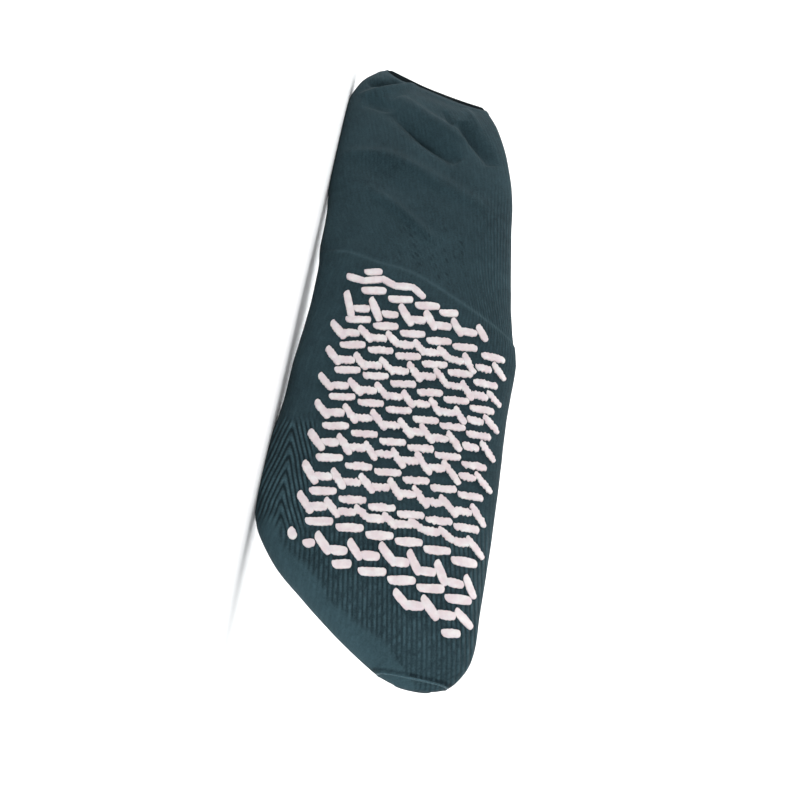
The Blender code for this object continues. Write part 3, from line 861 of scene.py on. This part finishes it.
def knit_material():
    """The outside of the knit: ribs, the gore's arrow, stitches, streaks and flecks, with painted
    shade in the rib grooves and by the toe seam, and painted highlight on the rib ridges, along the
    heel's turn and on the toe.
    """
    look = bpy.context.scene.knit_look
    material, tree, shader = plain_material(
        "slate_knit", look.light, 0.88, Specular_IOR_Level=0.14, Sheen_Weight=0.02,
        Sheen_Roughness=0.45, Sheen_Tint=(0.62, 0.78, 0.82, 1.0))
    across, along = wale_axes(tree)
    gore, toe, ribbed, blocky = (
        attribute_value(tree, name) for name in ("gore", "toe", "ribbed", "blocky"))
    sizes = {"Along": along, "Wale": look.wale, "Course": look.course}
    height = place_group(tree, "knit_stitch", Across=across, **sizes)["Height"]
    for mask, name in ((toe, "toe_across"), (gore, "gore_across")):
        other = place_group(tree, "knit_stitch", Across=attribute_value(tree, name), **sizes)
        both = tree.nodes.new("ShaderNodeMix")
        tree.links.new(mask, both.inputs["Factor"])
        tree.links.new(height, both.inputs["A"])
        tree.links.new(other["Height"], both.inputs["B"])
        height = both.outputs["Result"]
    grain = place_group(tree, "fibre_mottle", Cloud_Scale=42.0, Fleck_Scale=1300.0)
    streaks = place_group(tree, "wale_streak", Across=across, Along=along)
    streak = streaks["Streak"]

    # The ribs break up along the streaks, in the gore less than elsewhere
    broken = above(tree, streak, 0.34, 3.4, clamp=True)
    arrow = times(tree, gore, plus(tree, times(tree, broken, 1.1), 0.8))
    uneven = math_node(tree, "MAXIMUM", broken, arrow)
    # Painted highlight on the rib ridges and painted shade in the grooves, following the stitch
    # height
    painted_rib_shade = times(tree, above(tree, height, 0.48), ribbed)
    tone = times(tree, times(tree, painted_rib_shade, uneven), 0.55)
    # What lightens the yarn: a value, its middle and its weight
    for value, middle, weight in (
        (grain["Cloud"], 0.5, 0.28), (grain["Fleck"], 0.5, 0.36), (streak, 0.5, 0.18),
        # Painted highlight: the knit is lighter along the heel's turn
        (attribute_value(tree, "heel_turn"), 0.0, 0.20), (attribute_value(tree, "pad"), 0.0, 0.14),
        # Painted light: the toe is painted a little lighter than the leg
        # Painted shadow: the knit is darker beside the toe seam
        (toe, 0.0, 0.06), (attribute_value(tree, "seam_dark"), 0.0, -0.3),
        (times(tree, above(tree, streak, 0.5), ribbed), 0.0, 0.30),
        (times(tree, blocky, streaks["Block"]), 0.0, -0.14),
    ):
        tone = plus(tree, tone, above(tree, value, middle, weight))
    tone = plus(tree, tone, 0.22, clamp=True)
    fuzz = times(tree, grain["Fleck"], 0.25)
    finish_shader(
        tree, shader, mix_colour(tree, tone, look.dark, look.light),
        plus(tree, times(tree, height, ribbed), fuzz), 1.0, 0.0006)
    return material


def lining_material():
    """The inside of the knit: the backs of the stitches, darker than the outside and rougher, with
    painted shade in the hollows between the loops.
    """
    look = bpy.context.scene.knit_look
    material, tree, shader = plain_material(
        "knit_inside", look.dark, 0.95, Specular_IOR_Level=0.15)
    across, along = wale_axes(tree)
    loops = place_group(
        tree, "knit_stitch", Across=along, Along=across, Wale=look.course, Course=look.wale)
    grain = place_group(tree, "fibre_mottle", Cloud_Scale=42.0, Fleck_Scale=1300.0)
    # Painted shade: the hollows between the loops are mixed toward a darker colour
    tone = times(tree, loops["Height"], grain["Cloud"], clamp=True)
    shade = [part * 0.45 for part in look.dark]
    finish_shader(
        tree, shader, mix_colour(tree, tone, shade, look.dark), loops["Height"], 0.7, 0.0004)
    return material


def seam_material():
    """The yarn of the toe seam, a little lighter than the knit."""
    look = bpy.context.scene.knit_look
    material, tree, shader = plain_material(
        "seam_yarn", look.light, 0.85, Specular_IOR_Level=0.14, Sheen_Weight=0.2)
    fleck = place_group(tree, "fibre_mottle", Cloud_Scale=120.0, Fleck_Scale=1800.0)["Fleck"]
    light = [min(part * 1.25, 1.0) for part in look.light]
    finish_shader(
        tree, shader, mix_colour(tree, fleck, look.dark, light), fleck, 0.5, 0.0002)
    return material


def print_material():
    """The rubbery print, which lets the yarn show through where it thins out at its foot."""
    look = bpy.context.scene.grip_look
    yarn = bpy.context.scene.knit_look.light
    material, tree, shader = plain_material(
        "grip_gel", look.colour, 0.52, Specular_IOR_Level=0.4, Subsurface_Weight=0.12,
        Subsurface_Scale=0.0012)
    grain = place_group(tree, "fibre_mottle", Cloud_Scale=230.0, Fleck_Scale=2100.0)
    cloud = above(tree, grain["Cloud"], 0.40, 3.0, clamp=True)
    pink = mix_colour(tree, cloud, look.shade, look.colour)
    fray = plus(tree, attribute_value(tree, "rise"), times(tree, grain["Fleck"], 0.35))
    cover = above(tree, fray, 0.20, 4.0, clamp=True)
    thin = [0.45 * a + 0.55 * b for a, b in zip(look.colour, yarn)]
    finish_shader(
        tree, shader, mix_colour(tree, cover, thin, pink), grain["Cloud"], 0.35, 0.0003)
    return material


def store_values(mesh, name, values):
    """One value for each point of the mesh."""
    layer = mesh.attributes.new(name, "FLOAT", "POINT")
    layer.data.foreach_set("value", np.asarray(values, np.float32).ravel())


def skin_tree():
    """The surface of the finished knit, for laying the print on it."""
    knit = bpy.data.objects["sock_knit"]
    return BVHTree.FromPolygons(
        [vert.co for vert in knit.data.vertices],
        [tuple(face.vertices) for face in knit.data.polygons])


def grid_places(mesh, rings):
    """The ring and the column of the rolled sheet that each point of a unit grid stands for."""
    start = np.empty(len(mesh.vertices) * 3, np.float32)
    mesh.vertices.foreach_get("co", start)
    start = start.reshape(-1, 3)
    ring = np.rint((start[:, 0] + 0.5) * (rings - 1)).astype(int)
    column = np.rint((start[:, 1] + 0.5) * STITCHES_AROUND).astype(int)
    return ring, column


class SOCK_OT_knit(bpy.types.Operator):
    """Models the knitted tube with its folds, from a flat grid rolled up and closed"""

    bl_idname = "sock.knit"
    bl_label = "Knitted Body"

    def execute(self, context):
        points, base, depths = body_points()
        rings = len(points)
        deselect_all()
        bpy.ops.mesh.primitive_grid_add(
            x_subdivisions=rings - 1, y_subdivisions=STITCHES_AROUND, size=1.0, calc_uvs=True)
        piece = context.active_object
        piece.name = piece.data.name = "sock_knit"
        mesh = piece.data
        ring, column = grid_places(mesh, rings)
        set_points(mesh, points[ring, column])

        layer = mesh.uv_layers[0]
        layer.name = "wales"
        loops = np.empty(len(mesh.loops), np.int32)
        mesh.loops.foreach_get("vertex_index", loops)
        sheet = np.stack([whole_sheet(values) for values in stitch_places(base, depths)], axis=-1)
        layer.data.foreach_set("uv", sheet[ring, column][loops].astype(np.float32).ravel())
        for name, values in knit_masks(base, depths).items():
            store_values(mesh, name, whole_sheet(values)[ring, column])

        mesh.materials.clear()
        mesh.materials.append(knit_material())
        mesh.materials.append(lining_material())
        inside_from = RINGS_TOE_CAP + RINGS_OUTSIDE + RINGS_RIM - 1
        face_ring = np.array([min(ring[v] for v in face.vertices) for face in mesh.polygons])
        mesh.polygons.foreach_set("material_index", (face_ring >= inside_from).astype(np.int32))
        merge_points(piece)
        bpy.ops.object.shade_smooth()
        replace_nodes(piece, "knit", "knit_body")
        return {"FINISHED"}


class SOCK_OT_toe_seam(bpy.types.Operator):
    """Models the linked seam round the toe: a ring of small stitched lumps on the skin"""

    bl_idname = "sock.toe_seam"
    bl_label = "Toe Seam"

    lumps: bpy.props.IntProperty(name="Lumps", description="Stitches round the seam", default=46)
    width: length_choice("Width", 0.0010, "Width of the seam")
    height: length_choice("Height", 0.00022, "How far the seam stands out")

    def execute(self, context):
        steps, sides, thin = self.lumps * 7, 10, 0.2
        deselect_all()
        bpy.ops.mesh.primitive_torus_add(
            major_segments=steps, minor_segments=sides, major_radius=1.0, minor_radius=thin)
        piece = context.active_object
        piece.name = piece.data.name = "toe_seam_ridge"
        turn = np.arange(steps) * 2 * pi / steps
        before, ring, after = skin(
            sections(), [SEAM_PLACE - 0.2, SEAM_PLACE, SEAM_PLACE + 0.2], turn)
        ring = ring + origin_shift()
        along = unit(after - before)
        around = unit(np.roll(ring, -1, axis=0) - np.roll(ring, 1, axis=0))
        out = unit(np.cross(along, around))
        out *= np.sign(((ring - ring.mean(axis=0)) * out).sum(axis=1))[:, None]
        lump = 0.72 + 0.28 * np.abs(np.sin(turn * self.lumps / 2))
        points = np.empty((len(piece.data.vertices), 3))
        for vert in piece.data.vertices:
            angle = np.arctan2(vert.co.y, vert.co.x) % (2 * pi)
            number = int(round(angle / (2 * pi) * steps)) % steps
            across = (np.hypot(vert.co.x, vert.co.y) - 1.0) / thin
            up = vert.co.z / thin
            points[vert.index] = (
                ring[number]
                + out[number] * self.height * lump[number] * max(across + 0.25, -0.25)
                + along[number] * self.width / 2 * up * (0.85 + 0.15 * lump[number]))
        set_points(piece.data, points)
        merge_points(piece, 1e-7)
        bpy.ops.object.shade_smooth()
        piece.data.materials.clear()
        piece.data.materials.append(seam_material())
        replace_nodes(piece, "knit", "toe_seam")
        return {"FINISHED"}


def dash_blank(name):
    """What each dash starts from: a sphere of unit size, which dash_points presses flat."""
    deselect_all()
    bpy.ops.mesh.primitive_uv_sphere_add(segments=88, ring_count=12, radius=1.0)
    piece = bpy.context.active_object
    piece.name = piece.data.name = name
    return piece


def dash_points(blank, start, end, width, shift, tree, seed):
    """The blank's points laid along one dash on the skin, and how high each one stands."""
    look = bpy.context.scene.grip_look
    middle = (start + end) / 2
    rough = grip_roughness(middle)
    length = np.linalg.norm(end - start)
    along = (end - start) / length
    across = np.array([-along[1], along[0]])
    sphere = np.array([vert.co for vert in blank.data.vertices])
    angle = np.arctan2(sphere[:, 1], sphere[:, 0])
    # Points more than 66 degrees from the poles lie on the lozenge's outline
    reach = np.minimum(np.hypot(sphere[:, 0], sphere[:, 1]) / np.sin(radians(66)), 1.0)
    reach = 1 - (1 - reach) ** 1.35
    half_wide = width * (1.03 - 0.13 * rough) / 2
    slide = np.clip(np.cos(angle) * 1.7, -1, 1)
    outline_x = slide * (length / 2 - half_wide) + np.cos(angle) * half_wide
    outline_x -= np.clip(-slide, 0, 1) * np.sin(angle) * half_wide * look.slope
    outline_z = np.sign(np.sin(angle)) * np.abs(np.sin(angle)) ** 0.9 * half_wide

    def outline_noise(fineness, twist):
        """Smooth noise along the outline."""
        return np.array([
            noise.noise(Vector((a * fineness + seed, b * fineness, seed * twist)))
            for a, b in zip(outline_x, outline_z)])

    frayed = outline_noise(620, 1.7) + 0.35 * np.cos((outline_x + middle[1]) * 2 * pi / FRAY_PITCH)
    wavy = outline_noise(150, 0.7)
    grow = 1 + (frayed * 0.30 * rough + wavy * 0.16) * reach
    flat = (
        middle
        + (outline_x * reach)[:, None] * along
        + (outline_z * reach * grow)[:, None] * across)
    top = np.clip((sphere[:, 2] + FOOT_LEVEL) / (1 + FOOT_LEVEL), 0, 1)
    rise = np.where(sphere[:, 2] > -FOOT_LEVEL, (1 - (1 - top) ** 2.2), 0.0)
    lumps = np.array([noise.noise(Vector((x * 330, seed, z * 330))) for x, z in flat])
    height = look.height * rise * (1 + 0.16 * lumps * rough + 0.08 * wavy)
    sunk = np.where(sphere[:, 2] < -FOOT_LEVEL, FOOT_SINK, 0.0)
    points = np.empty((len(flat), 3))
    for number, (x, z) in enumerate(flat):
        in_front = Vector((x + shift[0], -0.2, z))
        spot = tree.ray_cast(in_front, Vector((0.0, 1.0, 0.0)))[0]
        points[number] = (in_front.x, spot.y - height[number] + sunk[number] - 0.00005, z)
    return points, rise


def grip_roughness(middle):
    """The print frays in the middle of the sole, where the sock was flexed, and less at the toe."""
    x_share, z_share = middle / part_size("foot")[:2]
    worn = between(x_share, 0.18, 0.34, 0.66, 0.76)
    return 0.35 + 0.95 * float(worn) * (0.35 + 0.65 * float(smooth_step(0.20, 0.42, z_share)))


def lay_dashes(name, dashes, node):
    """Rows of dashes as one piece, each dash a copy of the blank with its own mesh."""
    shift = origin_shift()
    tree = skin_tree()
    material = bpy.data.materials.get("grip_gel") or print_material()
    blank = dash_blank("dash_blank")
    copies = []
    for number, (start, end, width) in enumerate(dashes):
        copy = blank.copy()
        copy.data = blank.data.copy()
        bpy.context.scene.collection.objects.link(copy)
        seed = 7.3 * number + 31.0 * sum(ord(letter) for letter in name) % 97
        points, rise = dash_points(blank, start, end, width, shift, tree, seed)
        set_points(copy.data, points)
        store_values(copy.data, "rise", rise)
        copies.append(copy)
    bpy.data.objects.remove(blank)
    deselect_all()
    for copy in copies:
        copy.select_set(True)
    bpy.context.view_layer.objects.active = copies[0]
    if len(copies) > 1:
        bpy.ops.object.join()
    piece = copies[0]
    piece.name = piece.data.name = name
    merge_points(piece, 1e-8)
    bpy.ops.object.shade_smooth()
    piece.data.materials.clear()
    piece.data.materials.append(material)
    replace_nodes(piece, "grip_print", node)


def lengthened(start, end, extra):
    """A dash's two ends, each moved outwards."""
    tip = (end - start) / np.linalg.norm(end - start) * extra
    return start - tip, end + tip


class SOCK_OT_grip_bars(bpy.types.Operator):
    """Lays the rows of bars across the sole"""

    bl_idname = "sock.grip_bars"
    bl_label = "Grip Bars"

    lean: length_choice("Lean", 0.0018, "How far a bar's high end lies nearer the heel")

    def execute(self, context):
        look = context.scene.grip_look
        for row in BAR_ROWS:
            dashes = []
            for number, along in enumerate(row.along, start=row.first):
                aside = SHIFTED_BARS.get((row.name, number), 0.0)
                middle = share_to_size("foot", (along, COLUMNS[number] + row.shift + aside))
                length = look.bar_length * SHORT_BARS.get((row.name, number), 1.0)
                half = np.array([-self.lean / 2, length / 2])
                dashes.append((middle - half, middle + half, look.bar_width))
            lay_dashes(row.name.replace("grip_bars", "bar_row"), dashes, row.name)
        return {"FINISHED"}


class SOCK_OT_grip_zigzags(bpy.types.Operator):
    """Lays the slants and shorts between the rows of bars"""

    bl_idname = "sock.grip_zigzags"
    bl_label = "Grip Zigzags"

    def execute(self, context):
        look = context.scene.grip_look
        width = look.slant_width
        for zigzag in ZIGZAGS:
            slants = [share_to_size("foot", (line[:2], line[2:])) for line in zigzag.slants]
            dashes = [(*lengthened(*slant, width * 0.2), width) for slant in slants]
            toeward = share_to_size("foot", (zigzag.toeward, 0.0))
            for slant, following in zip(slants, slants[1:]):
                middle = (slant[0] + slant[1] + following[0] + following[1]) / 4 + toeward
                half = np.array([-0.0003, look.short_length / 2])
                dashes.append((middle - half, middle + half, width * 1.08))
            lay_dashes(zigzag.name.replace("grip_zigzag", "zigzag"), dashes, zigzag.name)
        return {"FINISHED"}


class SOCK_OT_grip_heel(bpy.types.Operator):
    """Lays the wavy line at the heel and the two lone dashes near the toe"""

    bl_idname = "sock.grip_heel"
    bl_label = "Grip Ends"

    def execute(self, context):
        width = context.scene.grip_look.slant_width
        corners = share_to_size("foot", HEEL_WAVE)
        dashes = [
            (*lengthened(start, end, width * 0.28), width * 0.97)
            for start, end in zip(corners, corners[1:])
        ]
        lay_dashes("heel_wave", dashes, "grip_wave_heel")
        for node, line in LOOSE_DASHES.items():
            start, end = share_to_size("foot", (line[:2], line[2:]))
            lay_dashes(node.replace("grip", "lone"), [(start, end, width)], node)
        return {"FINISHED"}


class SOCK_OT_stage(bpy.types.Operator):
    """Adds the pale floor and backdrop, the soft lights and the camera"""

    bl_idname = "sock.stage"
    bl_label = "Stage"

    def execute(self, context):
        look = context.scene.stage_look
        deselect_all()
        bpy.ops.mesh.primitive_grid_add(x_subdivisions=2, y_subdivisions=48, size=1.0)
        floor = context.active_object
        floor.name = floor.data.name = "floor_sweep"
        for vert in floor.data.vertices:
            share = vert.co.y + 0.5
            if share < BEND_SHARE:
                y, z = FLOOR_FRONT + (BEND_START - FLOOR_FRONT) * share / BEND_SHARE, 0.0
            elif share < WALL_SHARE:
                angle = (share - BEND_SHARE) / (WALL_SHARE - BEND_SHARE) * pi / 2
                y = BEND_START + BEND_RADIUS * np.sin(angle)
                z = BEND_RADIUS * (1 - np.cos(angle))
            else:
                y = BEND_START + BEND_RADIUS
                z = BEND_RADIUS + (share - WALL_SHARE) / (1 - WALL_SHARE) * WALL_HEIGHT
            vert.co = (vert.co.x * FLOOR_WIDTH, y, z)
        bpy.ops.object.shade_smooth()
        floor.data.materials.append(plain_material("pale_floor", look.floor, 0.9)[0])

        world = bpy.data.worlds.new("surround")
        context.scene.world = world
        world.use_nodes = True
        background = world.node_tree.nodes["Background"]
        background.inputs["Color"].default_value = (1.0, 1.0, 1.0, 1.0)
        background.inputs["Strength"].default_value = look.world_strength

        for made in LAMPS:
            light = bpy.data.lights.new(made.name, "AREA")
            light.shape = "SQUARE"
            light.size = made.size
            light.energy = look.key_power * made.share
            lamp = bpy.data.objects.new(made.name, light)
            context.scene.collection.objects.link(lamp)
            lamp.location = made.place
            ray = Vector(made.aim) - Vector(made.place)
            lamp.rotation_euler = ray.to_track_quat("-Z", "Y").to_euler()

        camera_data = bpy.data.cameras.new("camera")
        camera = bpy.data.objects.new("camera", camera_data)
        context.scene.collection.objects.link(camera)
        camera_data.sensor_width = 36.0
        camera_data.lens = CAMERA_LENS
        camera_data.clip_start = 0.01
        forward = Vector(CAMERA_FORWARD).normalized()
        right = Vector(CAMERA_RIGHT)
        right = (right - forward * right.dot(forward)).normalized()
        up = right.cross(forward)
        turn = Matrix((right, up, -forward)).transposed().to_4x4()
        camera.matrix_world = Matrix.Translation(CAMERA_PLACE) @ turn
        context.scene.camera = camera
        context.scene.view_settings.view_transform = "Standard"
        return {"FINISHED"}


class SOCK_PT_panel(bpy.types.Panel):
    """Lists the sock's pieces in the sidebar"""

    bl_label = "Slipper Sock"
    bl_idname = "SOCK_PT_panel"
    bl_space_type = "VIEW_3D"
    bl_region_type = "UI"
    bl_category = "Sock"

    def draw(self, context):
        for name in ("sock_sizes", "knit_look", "grip_look", "stage_look"):
            group = getattr(context.scene, name)
            box = self.layout.box()
            for key in group.__annotations__:
                box.prop(group, key)
        for operator in OPERATORS:
            self.layout.operator(operator.bl_idname)


GROUPS = {
    "sock_sizes": SockSizes, "knit_look": KnitLook, "grip_look": GripLook,
    "stage_look": StageLook,
}
OPERATORS = (
    SOCK_OT_knit, SOCK_OT_toe_seam, SOCK_OT_grip_bars, SOCK_OT_grip_zigzags, SOCK_OT_grip_heel,
    SOCK_OT_stage,
)


def register():
    for group in GROUPS.values():
        bpy.utils.register_class(group)
    for name, group in GROUPS.items():
        setattr(bpy.types.Scene, name, bpy.props.PointerProperty(type=group))
    for made in (*OPERATORS, SOCK_PT_panel):
        bpy.utils.register_class(made)


def unregister():
    for made in (SOCK_PT_panel, *reversed(OPERATORS)):
        bpy.utils.unregister_class(made)
    for name, group in GROUPS.items():
        delattr(bpy.types.Scene, name)
        bpy.utils.unregister_class(group)


def main():
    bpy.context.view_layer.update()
    register()
    bpy.ops.sock.knit()
    bpy.ops.sock.toe_seam()
    bpy.ops.sock.grip_bars()
    bpy.ops.sock.grip_zigzags()
    bpy.ops.sock.grip_heel()
    bpy.ops.sock.stage()


if __name__ == "__main__":
    main()
